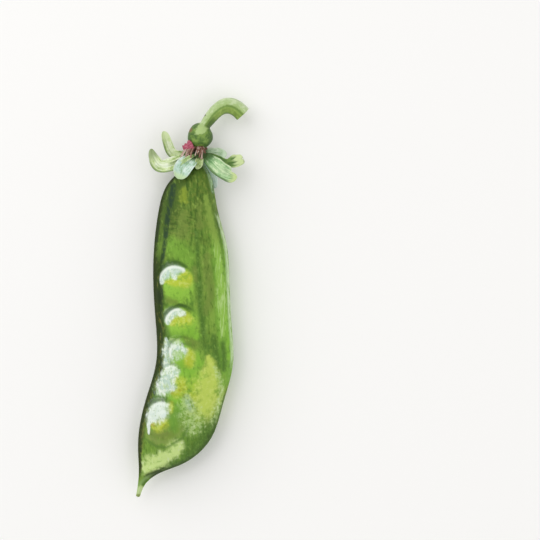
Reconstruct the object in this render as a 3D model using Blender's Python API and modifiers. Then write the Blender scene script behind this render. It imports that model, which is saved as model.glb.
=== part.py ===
"""Pea pod as picked, lying on its broad side: pod, calyx, what is left of the flower, and stalk.

Every shape is worked out in millimetres round the neck, the point where pod, calyx and stalk meet:
+X to the side of the dorsal suture, +Y towards the stalk, +Z up. The whole is then set down so that
the pod rests on Z = 0 with the origin under the middle of its bounding box. Objects are in metres.
"""

import math

import bmesh
import bpy
import numpy as np
from mathutils import Matrix, Vector

MM = 0.001
WELD = 0.00001
POLE = 1 - 1e-6

# The pod: each station of the loft gives the ventral suture (x, y), the dorsal suture (x, y) and half
# the thickness between them, from the neck to the tip of the beak
POD_STATIONS = [
    (-1.7, -1.5, 1.3, -1.5, 1.3),
    (-7.0, -5.6, 3.2, -5.2, 2.8),
    (-9.9, -12.5, 4.6, -12.5, 3.9),
    (-11.2, -22.5, 7.0, -22.0, 4.8),
    (-11.4, -31.0, 7.7, -32.0, 5.2),
    (-10.8, -41.0, 8.3, -43.0, 5.4),
    (-10.6, -50.5, 8.5, -52.0, 5.4),
    (-12.8, -59.0, 6.1, -61.5, 5.2),
    (-14.7, -66.5, 2.8, -70.6, 4.6),
    (-15.2, -73.0, -3.9, -76.5, 3.3),
    (-15.0, -78.2, -10.4, -79.2, 1.5),
    (-15.2, -81.4, -13.4, -81.7, 0.75),
    (-15.7, -84.6, -14.7, -84.7, 0.5),
]
POD_RINGS = 76
POD_SIDES = 36
POD_END = 0.3
SUTURE_LIP = 0.45
SUTURE_LIP_WIDTH = 0.2
FLANK_FULLNESS = 1.12
NERVE_INSET = 3.0
NERVE_WIDTH = 0.9
NERVE_RISE = 0.28
NERVE_FADE = 2.2
NERVE_FADE_POWER = 4

# The peas: distance down the ventral suture, inset from it, radius, and how far each lifts the wall
PEAS = [
    (24.2, 5.0, 3.6, 0.4),
    (33.2, 5.6, 4.7, 1.8),
    (42.8, 6.4, 4.3, 1.7),
    (50.2, 6.6, 3.7, 1.5),
    (57.4, 5.0, 4.0, 1.6),
    (67.0, 5.6, 4.8, 1.7),
]
PEA_ROUNDNESS = 0.95
SUTURE_SAMPLES = 400
LOWER_RISE = 0.45

# Height of the pod's middle plane over the surface that it lies on, which flattens its underside
REST_HEIGHT = 5.2

# The stalk: a knob over the calyx, and a hooked pedicel that thickens to the end where it was picked
KNOB_CENTRE = (0.4, 5.35, 0.0)
KNOB_RADII = (3.2, 3.2, 3.0)
PEDICEL_ROUTE = [
    (1.3, 7.4, 0.0),
    (2.9, 10.0, 0.0),
    (4.7, 11.9, -0.2),
    (7.0, 13.0, -0.5),
    (9.3, 12.4, -0.8),
    (11.0, 10.9, -1.0),
]
PEDICEL_RADIUS = 1.3
PEDICEL_END_RADIUS = 2.0
PEDICEL_SWELL = 0.6
PEDICEL_POINTS = 15

# The calyx: a hub that the lobes grow from. Each lobe has its midrib from root to tip, its greatest
# width, the share of it that is left at the tip, the way its face looks, and how deep its blade is
# cupped for its width. FORK is the share of its length that the notch of a forked tip takes
HUB_CENTRE = (0.0, 0.05, 0.0)
HUB_RADII = (2.3, 1.0, 2.3)
LOBE_THICKNESS = 0.65
LOBE_ROWS = 12
LOBE_COLUMNS = 4
LOBE_ROOT_SHARE = 0.45
LOBE_FLARE = 3.0
LOBE_TAPER = 3.0
MIDRIB_STEP = 0.02
FORK = 0.14
CALYX_LOBES = {
    "upper_left": dict(
        midrib=[(-0.9, 0.0, -0.6), (-3.9, 0.6, -1.0), (-6.4, 0.9, -1.2), (-7.7, 2.5, -0.9),
                (-8.9, 6.4, 0.0)],
        width=2.7, tip=0.62, face=(0.35, 0.2, 1.0), cup=0.24),
    "left": dict(
        midrib=[(-1.0, -0.15, 0.9), (-4.6, -1.0, 1.6), (-7.4, -2.1, 1.5), (-10.0, -1.8, 1.0),
                (-11.7, 1.7, 0.8)],
        width=4.3, tip=0.3, face=(0.0, 0.35, 1.0), cup=0.24),
    "front_left": dict(
        midrib=[(-0.8, 0.2, 1.4), (-2.3, -1.4, 3.2), (-3.8, -3.5, 3.9), (-4.6, -5.5, 3.7)],
        width=5.2, tip=0.45, face=(-0.25, 0.1, 1.0), cup=0.14),
    "front": dict(
        midrib=[(0.2, 0.1, 1.5), (0.1, -1.3, 3.0), (-0.5, -3.1, 3.5)],
        width=2.2, tip=0.4, face=(0.0, 0.2, 1.0), cup=0.15),
    "front_right": dict(
        midrib=[(1.5, -0.1, 0.9), (3.7, -1.8, 2.4), (5.6, -3.6, 2.6), (7.5, -4.6, 2.0),
                (9.4, -4.9, 1.4)],
        width=4.2, tip=0.4, face=(0.25, 0.1, 1.0), cup=0.20),
    "right": dict(
        midrib=[(1.0, 0.2, -0.2), (4.2, -0.4, -0.5), (7.3, -1.4, -0.5), (9.4, -1.1, -0.1),
                (11.2, -0.2, 0.3)],
        width=3.0, tip=0.7, face=(-0.1, 0.45, 1.0), cup=0.24, fork=FORK),
    "upper_right": dict(
        midrib=[(0.8, 0.0, -1.3), (2.6, 0.6, -2.1), (4.5, 0.9, -2.1), (6.8, 0.8, -1.7)],
        width=3.0, tip=0.45, face=(0.1, 0.2, 1.0), cup=0.16),
    "back": dict(
        midrib=[(0.6, 0.0, -1.5), (2.0, -2.6, -3.1), (3.3, -5.2, -3.4), (4.1, -7.5, -3.0)],
        width=2.9, tip=0.45, face=(0.3, 0.0, -1.0), cup=0.15),
}

# What is left of the flower: one pink scrap of petal, and the stamens, dried onto a collar
PETAL = dict(
    midrib=[(-1.6, 3.2, 2.4), (-2.6, 2.75, 2.4), (-3.7, 2.15, 2.1)],
    width=2.3, tip=0.8, face=(-0.25, 0.0, 1.0), cup=-0.1)
PETAL_THICKNESS = 0.6
COLLAR_RADIUS = 1.45
COLLAR_FROM = 1.3
COLLAR_TO = 1.85
STAMEN_RADIUS = 0.35
STAMEN_POINTS = 7
STAMEN_ROOT = 1.1
STAMEN_BOW = 2.8
STAMEN_BOW_DROP = 0.2
STAMEN_TIP = 3.7
# Each stamen's turn about the stalk in degrees, 90 being straight up, and its reach down the pod
STAMENS = [(38, 0.5), (62, 1.6), (80, 1.8), (98, 1.8), (116, 1.3), (228, 0.6), (262, 1.2)]

COLOURS = {
    "pod": ((0.16, 0.34, 0.05), 0.42),
    "calyx": ((0.52, 0.70, 0.36), 0.55),
    "stalk": ((0.27, 0.42, 0.09), 0.50),
    "withered_petal": ((0.60, 0.15, 0.24), 0.70),
    "withered_stamens": ((0.30, 0.17, 0.11), 0.75),
}


def clear_scene():
    for obj in list(bpy.data.objects):
        bpy.data.objects.remove(obj, do_unlink=True)


def new_collection(name):
    collection = bpy.data.collections.new(name)
    bpy.context.scene.collection.children.link(collection)
    return collection


def new_material(name):
    colour, roughness = COLOURS[name]
    material = bpy.data.materials.new(name)
    material.use_nodes = True
    shader = material.node_tree.nodes["Principled BSDF"]
    shader.inputs["Base Color"].default_value = (*colour, 1.0)
    shader.inputs["Roughness"].default_value = roughness
    shader.inputs["Metallic"].default_value = 0.0
    return material


def smooth_line(points):
    """A natural cubic spline through the points, spaced by chord length: line(t) for t from 0 to 1."""
    points = np.asarray(points, float)
    knots = np.concatenate([[0.0], np.cumsum(np.linalg.norm(np.diff(points, axis=0), axis=1))])
    knots /= knots[-1]
    gaps = np.diff(knots)
    count = len(points)
    system = np.eye(count)
    load = np.zeros_like(points)
    for i in range(1, count - 1):
        system[i, i - 1:i + 2] = gaps[i - 1], 2 * (gaps[i - 1] + gaps[i]), gaps[i]
        load[i] = 6 * ((points[i + 1] - points[i]) / gaps[i] - (points[i] - points[i - 1]) / gaps[i - 1])
    bends = np.linalg.solve(system, load)

    def line(t):
        i = min(max(int(np.searchsorted(knots, t, side="right")) - 1, 0), count - 2)
        before = (knots[i + 1] - t) / gaps[i]
        after = 1 - before
        straight = before * points[i] + after * points[i + 1]
        bend = (before**3 - before) * bends[i] + (after**3 - after) * bends[i + 1]
        return straight + bend * gaps[i] ** 2 / 6

    return line


def object_from(bm, name, collection):
    mesh = bpy.data.meshes.new(name)
    bm.to_mesh(mesh)
    bm.free()
    obj = bpy.data.objects.new(name, mesh)
    collection.objects.link(obj)
    return obj


def ellipsoid(name, collection, centre, radii, sides, rings):
    bm = bmesh.new()
    bmesh.ops.create_uvsphere(bm, u_segments=sides, v_segments=rings, radius=MM)
    place = Matrix.Translation(Vector(centre) * MM) @ Matrix.Diagonal((*radii, 1.0))
    bmesh.ops.transform(bm, matrix=place, verts=bm.verts)
    return object_from(bm, name, collection)


def as_mesh(obj, collection):
    """A plain mesh of the object as its modifiers or its bevel make it, with curve caps welded."""
    graph = bpy.context.evaluated_depsgraph_get()
    mesh = bpy.data.meshes.new_from_object(obj.evaluated_get(graph))
    bm = bmesh.new()
    bm.from_mesh(mesh)
    bmesh.ops.remove_doubles(bm, verts=bm.verts, dist=WELD)
    bm.to_mesh(mesh)
    bm.free()
    made = bpy.data.objects.new(obj.name + "_mesh", mesh)
    made.matrix_world = obj.matrix_world
    collection.objects.link(made)
    bpy.data.objects.remove(obj, do_unlink=True)
    return made


def joined(name, base, others, collection):
    """The base with every object of the collection others joined to it by one Boolean union."""
    union = base.modifiers.new("join", "BOOLEAN")
    union.operation = "UNION"
    union.operand_type = "COLLECTION"
    union.collection = others
    bpy.context.view_layer.update()
    made = as_mesh(base, collection)
    for obj in list(others.objects):
        bpy.data.objects.remove(obj, do_unlink=True)
    bpy.data.collections.remove(others)
    made.name = made.data.name = name
    return made


def pea_places(line):
    """The (x, y) centre, radius and rise of each pea, from its distance and inset on the pod."""
    steps = np.linspace(0, 1, SUTURE_SAMPLES)
    stations = np.array([line(t) for t in steps])
    lengths = np.linalg.norm(np.diff(stations[:, :2], axis=0), axis=1)
    along = np.concatenate([[0.0], np.cumsum(lengths)])
    places = []
    for distance, inset, radius, rise in PEAS:
        station = line(float(np.interp(distance, along, steps)))
        across = station[2:4] - station[0:2]
        places.append((station[0:2] + across / np.linalg.norm(across) * inset, radius, rise))
    return places


def wall_rise(spot, station, peas):
    """How far the wall stands out at an (x, y) spot, lifted by the peas and by the dorsal nerve."""
    rise = 0.0
    for centre, radius, height in peas:
        share = np.linalg.norm(spot - centre) / radius
        if share < 1:
            rise = max(rise, height * (1 - share**2) ** PEA_ROUNDNESS)
    width = np.linalg.norm(station[2:4] - station[0:2])
    inset = np.linalg.norm(spot - station[2:4])
    fade = min(1.0, width / (NERVE_INSET * NERVE_FADE)) ** NERVE_FADE_POWER
    return rise + NERVE_RISE * fade * math.exp(-(((inset - NERVE_INSET) / NERVE_WIDTH) ** 2))


def pod_point(line, peas, t, turn):
    """The point of the pod's wall at station t, turned from the dorsal suture over the upper flank."""
    station = line(t)
    middle = (station[0:2] + station[2:4]) / 2
    half = (station[2:4] - station[0:2]) / 2
    across, up = math.cos(turn), math.sin(turn)
    lip = min(1.0, SUTURE_LIP / np.linalg.norm(half))
    keel = math.copysign(math.exp(-((up / SUTURE_LIP_WIDTH) ** 2)), across)
    spot = middle + half * (across * (1 - lip) + keel * lip)
    share = abs(up) ** FLANK_FULLNESS
    lift = station[4] * share
    rise = wall_rise(spot, station, peas) * share
    if up >= 0:
        return Vector((*spot, lift + rise))
    return Vector((*spot, -min(lift + LOWER_RISE * rise, REST_HEIGHT)))


def make_pod(collection):
    """A sphere whose rings are drawn out along the stations, one ring to a station, ends closed."""
    line = smooth_line(POD_STATIONS)
    peas = pea_places(line)
    ends = {1: (line(0.0), POD_END), -1: (line(1.0), -POD_END)}
    bm = bmesh.new()
    bmesh.ops.create_uvsphere(bm, u_segments=POD_SIDES, v_segments=POD_RINGS, radius=1.0)
    for vertex in bm.verts:
        down = math.acos(max(-1.0, min(1.0, vertex.co.z))) / math.pi * POD_RINGS
        if abs(vertex.co.z) > POLE:
            station, out = ends[round(vertex.co.z)]
            middle = (station[0:2] + station[2:4]) / 2
            vertex.co = Vector((middle[0], middle[1] + out, 0.0)) * MM
        else:
            t = (down - 1) / (POD_RINGS - 2)
            vertex.co = pod_point(line, peas, t, math.atan2(vertex.co.y, vertex.co.x)) * MM
    bmesh.ops.reverse_faces(bm, faces=bm.faces)
    return object_from(bm, "pod", collection)


def blade(name, collection, midrib, width, tip, face, cup, thickness, fork=0.0):
    """A thin leaf: a grid carried along its midrib, cupped across, and given its thickness."""
    line = smooth_line(midrib)
    bm = bmesh.new()
    bmesh.ops.create_grid(bm, x_segments=LOBE_COLUMNS, y_segments=LOBE_ROWS, size=1.0)
    for vertex in bm.verts:
        across, along = vertex.co.x, (vertex.co.y + 1) / 2
        reach = along * (1 - fork * (1 - abs(across)))
        ahead = line(min(along + MIDRIB_STEP, 1.0))
        tangent = Vector(ahead - line(max(along - MIDRIB_STEP, 0.0))).normalized()
        side = Vector(face).cross(tangent).normalized()
        normal = tangent.cross(side)
        widening = 1 - (1 - LOBE_ROOT_SHARE) * (1 - along) ** LOBE_FLARE
        narrowing = tip + (1 - tip) * (1 - along**LOBE_TAPER) ** 0.5
        half = width / 2 * widening * narrowing
        spot = Vector(line(reach)) + side * (across * half) + normal * (cup * 2 * half * across**2)
        vertex.co = spot * MM
    bmesh.ops.triangulate(bm, faces=bm.faces)
    leaf = object_from(bm, name, collection)
    solid = leaf.modifiers.new("thickness", "SOLIDIFY")
    solid.thickness = thickness * MM
    solid.offset = 0.0
    return as_mesh(leaf, collection)


def tube(name, collection, points, radii, resolution):
    """A round tube through the points, its radius given at each of them."""
    curve = bpy.data.curves.new(name, "CURVE")
    curve.dimensions = "3D"
    curve.bevel_depth = MM
    curve.bevel_resolution = resolution
    curve.use_fill_caps = True
    spline = curve.splines.new("POLY")
    spline.points.add(len(points) - 1)
    for control, point, radius in zip(spline.points, points, radii):
        control.co = (*(Vector(point) * MM), 1.0)
        control.radius = radius
    obj = bpy.data.objects.new(name, curve)
    collection.objects.link(obj)
    return as_mesh(obj, collection)


def make_stalk(collection):
    parts = new_collection("stalk_parts")
    route = smooth_line(PEDICEL_ROUTE)
    shares = [i / (PEDICEL_POINTS - 1) for i in range(PEDICEL_POINTS)]
    points = [route(share) for share in shares]
    swell = PEDICEL_END_RADIUS - PEDICEL_RADIUS
    radii = [PEDICEL_RADIUS + swell * share**PEDICEL_SWELL for share in shares]
    tube("pedicel", parts, points, radii, resolution=3)
    knob = ellipsoid("knob", collection, KNOB_CENTRE, KNOB_RADII, sides=20, rings=12)
    return joined("stalk", knob, parts, collection)


def make_calyx(collection):
    lobes = new_collection("calyx_lobes")
    for name, shape in CALYX_LOBES.items():
        blade(name, lobes, thickness=LOBE_THICKNESS, **shape)
    hub = ellipsoid("hub", collection, HUB_CENTRE, HUB_RADII, sides=20, rings=10)
    return joined("calyx", hub, lobes, collection)


def make_petal(collection):
    petal = blade("petal", collection, thickness=PETAL_THICKNESS, **PETAL)
    petal.name = petal.data.name = "withered_petal"
    return petal


def stamen_route(turn, reach):
    """From the collar out over the calyx and down along the pod, at a turn about the stalk's axis."""
    out = Vector((math.cos(math.radians(turn)), 0.0, math.sin(math.radians(turn))))
    middle = (COLLAR_FROM + COLLAR_TO) / 2
    root = out * STAMEN_ROOT + Vector((0.0, middle, 0.0))
    bow = out * STAMEN_BOW + Vector((0.0, middle - STAMEN_BOW_DROP, 0.0))
    tip = out * STAMEN_TIP + Vector((0.0, middle - reach, 0.0))
    line = smooth_line([root, bow, tip])
    return [line(i / (STAMEN_POINTS - 1)) for i in range(STAMEN_POINTS)]


def make_stamens(collection):
    parts = new_collection("stamen_parts")
    for number, (turn, reach) in enumerate(STAMENS):
        route = stamen_route(turn, reach)
        tube(f"stamen_{number}", parts, route, [STAMEN_RADIUS] * len(route), resolution=1)
    bm = bmesh.new()
    bmesh.ops.create_cone(
        bm, cap_ends=True, segments=16, radius1=COLLAR_RADIUS * MM, radius2=COLLAR_RADIUS * MM,
        depth=(COLLAR_TO - COLLAR_FROM) * MM)
    lie_along_y = Matrix.Rotation(math.radians(90), 4, "X")
    middle = Matrix.Translation((0.0, (COLLAR_FROM + COLLAR_TO) / 2 * MM, 0.0))
    bmesh.ops.transform(bm, matrix=middle @ lie_along_y, verts=bm.verts)
    collar = object_from(bm, "collar", collection)
    return joined("withered_stamens", collar, parts, collection)


def set_down(objects):
    """Moves everything so that the origin is on the surface, under the middle of the bounding box."""
    corners = np.array([obj.matrix_world @ v.co for obj in objects for v in obj.data.vertices])
    low, high = corners.min(axis=0), corners.max(axis=0)
    shift = Vector((-(low[0] + high[0]) / 2, -(low[1] + high[1]) / 2, REST_HEIGHT * MM))
    for obj in objects:
        obj.location = shift


def main():
    clear_scene()
    collection = new_collection("pea_pod")
    makers = {
        "pod": make_pod,
        "calyx": make_calyx,
        "stalk": make_stalk,
        "withered_petal": make_petal,
        "withered_stamens": make_stamens,
    }
    made = []
    for name, make in makers.items():
        obj = make(collection)
        obj.data.materials.clear()
        obj.data.materials.append(new_material(name))
        obj.data.shade_smooth()
        made.append(obj)
    bpy.context.view_layer.update()
    set_down(made)


main()
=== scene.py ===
"""A garden pea pod as picked, lying on its side on a pale floor and seen from straight above.

Every piece is a closed surface worked out with numpy in millimetres round the neck, the point where
pod, calyx and stalk meet: +X to the side of the dorsal suture, +Y towards the stalk, +Z up.
"""

import math

import bpy
import numpy as np
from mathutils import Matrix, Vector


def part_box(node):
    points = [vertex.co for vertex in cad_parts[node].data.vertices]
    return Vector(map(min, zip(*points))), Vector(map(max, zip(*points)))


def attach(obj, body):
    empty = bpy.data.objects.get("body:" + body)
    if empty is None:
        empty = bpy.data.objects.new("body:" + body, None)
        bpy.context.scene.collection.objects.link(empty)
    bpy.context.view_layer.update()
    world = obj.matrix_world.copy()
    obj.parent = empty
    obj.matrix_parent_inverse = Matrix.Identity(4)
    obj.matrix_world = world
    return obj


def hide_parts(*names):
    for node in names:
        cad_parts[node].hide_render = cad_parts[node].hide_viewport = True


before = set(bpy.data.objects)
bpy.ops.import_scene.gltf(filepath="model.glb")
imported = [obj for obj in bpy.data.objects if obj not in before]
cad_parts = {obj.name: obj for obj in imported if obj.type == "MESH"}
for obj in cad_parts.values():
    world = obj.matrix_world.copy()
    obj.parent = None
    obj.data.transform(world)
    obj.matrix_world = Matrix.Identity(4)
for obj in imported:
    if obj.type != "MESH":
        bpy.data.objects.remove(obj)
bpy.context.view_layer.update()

MM = 0.001

# The neck's place in the frame, from the pod's own box: the beak reaches this far left of the neck,
# the pod's upper end lies this far below it, and the pod's middle plane this high over the floor
BEAK_REACH = 15.7
POD_END = 1.2
REST_HEIGHT = 5.2
POD_LOW, POD_HIGH = (np.array(corner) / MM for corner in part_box("pod"))
NECK = np.array([POD_LOW[0] + BEAK_REACH, POD_HIGH[1] + POD_END, POD_LOW[2] + REST_HEIGHT])

# Where the neck stands in the photograph, and the size of one of its pixels on the object
NECK_PIXEL = (198.8, 157.6)
FRAME_PIXELS = 540
PIXEL = 0.25

# The pod: ventral suture (x, y), dorsal suture (x, y) and half the thickness, from neck to beak
POD_STATIONS = [
    (-1.7, -1.5, 1.3, -1.5, 1.3),
    (-7.0, -5.6, 3.2, -5.2, 2.8),
    (-9.9, -12.5, 4.6, -12.5, 3.9),
    (-11.2, -22.5, 7.0, -22.0, 4.8),
    (-11.4, -31.0, 7.7, -32.0, 5.2),
    (-10.8, -41.0, 8.3, -43.0, 5.4),
    (-10.6, -50.5, 8.5, -52.0, 5.4),
    (-12.8, -59.0, 6.1, -61.5, 5.2),
    (-14.7, -66.5, 2.8, -70.6, 4.6),
    (-15.2, -73.0, -3.9, -76.5, 3.3),
    (-15.0, -78.2, -10.4, -79.2, 1.5),
    (-15.2, -81.4, -13.4, -81.7, 0.75),
    (-15.7, -84.6, -14.7, -84.7, 0.5),
]
# The peas: distance down the ventral suture, inset from it, radius, how far each lifts the wall, and how
# deep the crease round it is
PEAS = [
    (24.2, 5.0, 3.6, 0.4, 0.3),
    (33.2, 5.6, 4.7, 1.8, 1.0),
    (42.8, 6.4, 4.3, 1.7, 0.9),
    (50.2, 6.6, 3.7, 1.5, 0.45),
    (57.4, 5.0, 4.0, 1.6, 0.4),
    (67.0, 5.6, 4.8, 1.7, 0.6),
]


def travelled(points):
    """The distance along a line of points, from its start to each of them."""
    return np.concatenate([[0.0], np.cumsum(np.linalg.norm(np.diff(points, axis=0), axis=1))])


def spline(points):
    """A natural cubic spline through the points, spaced by chord length, as a function of t in 0..1."""
    points = np.asarray(points, float)
    knots = travelled(points)
    knots /= knots[-1]
    gaps = np.diff(knots)[:, None]
    system = np.eye(len(points))
    load = np.zeros_like(points)
    inner = np.arange(1, len(points) - 1)
    system[inner, inner - 1] = gaps[:-1, 0]
    system[inner, inner] = 2 * (gaps[:-1, 0] + gaps[1:, 0])
    system[inner, inner + 1] = gaps[1:, 0]
    slopes = np.diff(points, axis=0) / gaps
    load[1:-1] = 6 * np.diff(slopes, axis=0)
    bends = np.linalg.solve(system, load)

    def line(t):
        t = np.asarray(t, float)
        i = np.clip(np.searchsorted(knots, t, side="right") - 1, 0, len(gaps) - 1)
        before = ((knots[i + 1] - t) / gaps[i, 0])[..., None]
        after = 1 - before
        bend = (before**3 - before) * bends[i] + (after**3 - after) * bends[i + 1]
        return before * points[i] + after * points[i + 1] + bend * gaps[i] ** 2 / 6

    return line


def unit(vectors):
    """The vectors brought to length 1."""
    return vectors / np.linalg.norm(vectors, axis=-1, keepdims=True)


def full_turn(sides):
    """The angles round one ring, as a row."""
    return np.linspace(0, 2 * math.pi, sides, endpoint=False)[None, :]


def stacked(*values):
    """Vectors made of numbers and arrays, all spread to one shape."""
    return np.stack(np.broadcast_arrays(*values), axis=-1)


def rise(low, high, value):
    """0 below low, 1 above high, and a smooth S between them."""
    share = np.clip((value - low) / (high - low), 0, 1)
    return share * share * (3 - 2 * share)


def bump(value, width):
    """1 where the value is 0, falling to both sides as a bell."""
    return np.exp(-((value / width) ** 2))


def lathe(profile, uneven, turn):
    """Rings turned round the Y axis: each row of the profile is a height and a radius, and the radius is
    made uneven by a factor (row, side)."""
    radius = profile[:, 1:] * uneven
    return stacked(radius * np.cos(turn), profile[:, :1], radius * np.sin(turn))


def ripple(seed, *coordinates, layers=5):
    """Smooth noise of about -1..1: sine waves whose directions and phases are drawn by the seed."""
    draw = np.random.default_rng(seed)
    total = 0.0
    for _ in range(layers):
        phase = draw.uniform(0, 2 * math.pi)
        turned = sum(c * draw.uniform(-1, 1) for c in coordinates)
        total = total + np.sin(turned * draw.uniform(0.7, 1.6) + phase)
    return total / layers**0.5


def volume_below(a, b, c):
    """Six times the signed volume between the triangles a, b, c and the neck."""
    return np.einsum("ij,ij->", a, np.cross(b, c))


def closed_piece(name, rings, slot, material, start=None, end=None, **layers):
    """A closed skin: rings of points (ring, side, xyz), each joined to the next, with a pole at both
    ends: the middle of the first or last ring, where none is given.

    Each layer is an array (ring, side) or (ring, side, 3) kept on the mesh as an attribute.
    """
    start = rings[0].mean(axis=0) if start is None else start
    end = rings[-1].mean(axis=0) if end is None else end
    count, sides = rings.shape[:2]
    points = np.concatenate([rings.reshape(-1, 3), [start, end]])
    ring = np.arange(count)[:, None] * sides
    side = np.arange(sides)[None, :]
    beside = (side + 1) % sides
    quads = np.stack([ring[:-1] + side, ring[:-1] + beside, ring[1:] + beside, ring[1:] + side], axis=-1)
    quads = quads.reshape(-1, 4)
    first, last = count * sides, count * sides + 1
    top = np.stack([np.full(sides, first), beside[0], side[0]], axis=-1)
    bottom = np.stack([np.full(sides, last), ring[-1, 0] + side[0], ring[-1, 0] + beside[0]], axis=-1)
    fans = np.concatenate([top, bottom])
    a, b, c, d = points[quads].swapaxes(0, 1)
    volume = volume_below(*points[fans].swapaxes(0, 1)) + volume_below(a, b, c) + volume_below(a, c, d)
    if volume < 0:
        quads, fans = quads[:, ::-1], fans[:, ::-1]
    mesh = bpy.data.meshes.new(name)
    mesh.from_pydata(((points + NECK) * MM).tolist(), [], quads.tolist() + fans.tolist())
    mesh.shade_smooth()
    for layer, values in layers.items():
        flat = values.reshape(count * sides, -1)
        flat = np.concatenate([flat, flat[:sides].mean(axis=0, keepdims=True),
                               flat[-sides:].mean(axis=0, keepdims=True)])
        kind = "FLOAT" if flat.shape[1] == 1 else "FLOAT_VECTOR"
        attribute = mesh.attributes.new(layer, kind, "POINT")
        attribute.data.foreach_set("value" if kind == "FLOAT" else "vector", flat.ravel())
    mesh.materials.append(material)
    piece = placed(name, mesh)
    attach(piece, "root")
    return piece


def placed(name, data):
    """A new object in the scene that shows this mesh, lamp or camera."""
    thing = bpy.data.objects.new(name, data)
    bpy.context.scene.collection.objects.link(thing)
    return thing


# The sockets of Blender's Mix node when it mixes colours
MIX_SHARE, MIX_FIRST, MIX_SECOND, MIX_RESULT = 0, 6, 7, 2


class Flow:
    """A number or colour on its way through a material; arithmetic on it adds the Math nodes."""

    def __init__(self, paint, socket):
        self.paint = paint
        self.socket = socket

    def math(self, operation, *others):
        return self.paint.node("ShaderNodeMath", {"operation": operation}, [self, *others])

    def __add__(self, other):
        return self.math("ADD", other)

    def __sub__(self, other):
        return self.math("SUBTRACT", other)

    def __rsub__(self, other):
        return (self * -1) + other

    def __mul__(self, other):
        return self.math("MULTIPLY", other)

    def __pow__(self, other):
        return self.math("POWER", other)

    __radd__ = __add__
    __rmul__ = __mul__

    def at_least(self, other):
        return self.math("MAXIMUM", other)

    def at_most(self, other):
        return self.math("MINIMUM", other)

    def size(self):
        return self.math("ABSOLUTE")

    def rise(self, low, high):
        """0 at low, 1 at high, and a smooth S between them; low may be over high."""
        return self.paint.node("ShaderNodeMapRange", {"interpolation_type": "SMOOTHSTEP"},
                               {"Value": self, "From Min": low, "From Max": high})

    def near(self, middle, width):
        """1 at the middle, falling to 0 at the width to both sides of it."""
        return (self - middle).size().rise(width, 0.0)

    def colour(self, mask, other):
        """This colour, turned to the other one where the mask is 1."""
        return self.paint.node("ShaderNodeMix", {"data_type": "RGBA"},
                               {MIX_SHARE: mask, MIX_FIRST: self, MIX_SECOND: other}, MIX_RESULT)

    def coats(self, *coats):
        """This colour under several coats, each given as its mask and its colour."""
        colour = self
        for mask, other in coats:
            colour = colour.colour(mask, other)
        return colour


class Paint:
    """A material being made: nodes are added by type, settings and the values of their sockets."""

    def __init__(self, name, **shader_values):
        self.material = bpy.data.materials.new(name)
        self.material.use_nodes = True
        self.tree = self.material.node_tree
        self.shader = self.tree.nodes["Principled BSDF"]
        for socket, value in shader_values.items():
            self.shader.inputs[socket.replace("_", " ")].default_value = value

    def node(self, kind, settings=None, sockets=None, output=0):
        node = self.tree.nodes.new(kind)
        for key, value in (settings or {}).items():
            setattr(node, key, value)
        pairs = enumerate(sockets) if isinstance(sockets, list) else (sockets or {}).items()
        for key, value in pairs:
            self.feed(node.inputs[key], value)
        return Flow(self, node.outputs[output])

    def feed(self, socket, value):
        if isinstance(value, Flow):
            self.tree.links.new(value.socket, socket)
        elif isinstance(value, str):
            socket.default_value = rgb(value)
        else:
            socket.default_value = value

    def layer(self, name):
        """A number kept on the mesh."""
        return self.node("ShaderNodeAttribute", {"attribute_name": name}, output="Fac")

    def split(self, vector):
        return [self.node("ShaderNodeSeparateXYZ", sockets=[vector], output=axis) for axis in "XYZ"]

    def layers(self, name):
        """Three numbers kept on the mesh as one vector."""
        return self.split(self.node("ShaderNodeAttribute", {"attribute_name": name}, output="Vector"))

    def place(self):
        """The place in millimetres round the neck: x, y and z."""
        spot = self.node("ShaderNodeTexCoord", output="Object")
        scaled = self.node("ShaderNodeVectorMath", {"operation": "SCALE"}, {0: spot, "Scale": 1 / MM})
        moved = self.node("ShaderNodeVectorMath", {"operation": "SUBTRACT"}, [scaled, tuple(NECK)])
        return self.split(moved)

    def noise(self, x, y, z=0.0, scale=1.0, detail=3.0, rough=0.5):
        """Noise of 0..1 round 0.5 at a place given in millimetres."""
        spot = self.node("ShaderNodeCombineXYZ", sockets=[x, y, z])
        return self.node("ShaderNodeTexNoise", None,
                         {"Vector": spot, "Scale": scale, "Detail": detail, "Roughness": rough})

    def plain(self, colour):
        """One colour all over, for others to be laid on."""
        return self.node("ShaderNodeMix", {"data_type": "RGBA"},
                         {MIX_SHARE: 0.0, MIX_FIRST: colour, MIX_SECOND: colour}, MIX_RESULT)

    def finish(self, colour, roughness=None, height=None, relief=0.1):
        """Feeds the shader; the relief is the height's full depth in millimetres."""
        self.feed(self.shader.inputs["Base Color"], colour)
        if roughness is not None:
            self.feed(self.shader.inputs["Roughness"], roughness)
        if height is not None:
            normal = self.node("ShaderNodeBump", None,
                               {"Strength": 1.0, "Distance": relief * MM, "Height": height})
            self.feed(self.shader.inputs["Normal"], normal)
        return self.material


def square_from(centre, x, y, x_weight=1.0, y_weight=1.0):
    """The square of the distance from a centre, which may count more or less along x and y."""
    return (x - centre[0]) ** 2 * x_weight + (y - centre[1]) ** 2 * y_weight


def rgb(code):
    """A colour written as six hex digits, made linear for the shader."""
    parts = [int(code[i:i + 2], 16) / 255 for i in (0, 2, 4)]
    return (*[p / 12.92 if p <= 0.04045 else ((p + 0.055) / 1.055) ** 2.4 for p in parts], 1.0)


# The pod's skin: its grid, the lips at its sutures, how full its flanks are, the dorsal nerve, how much
# of the swellings shows on the lower side, the seam and the side veins
POD_RINGS = 480
POD_SIDES = 200
SUTURE_LIP = 0.45
SUTURE_LIP_WIDTH = 0.2
FLANK_FULLNESS = 1.12
NERVE_INSET = 3.0
NERVE_WIDTH = 0.9
NERVE_RISE = 0.28
LOWER_RISE = 0.45
SEAM_DEPTH = 0.28
SIDE_VEIN_RISE = 0.02
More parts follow.
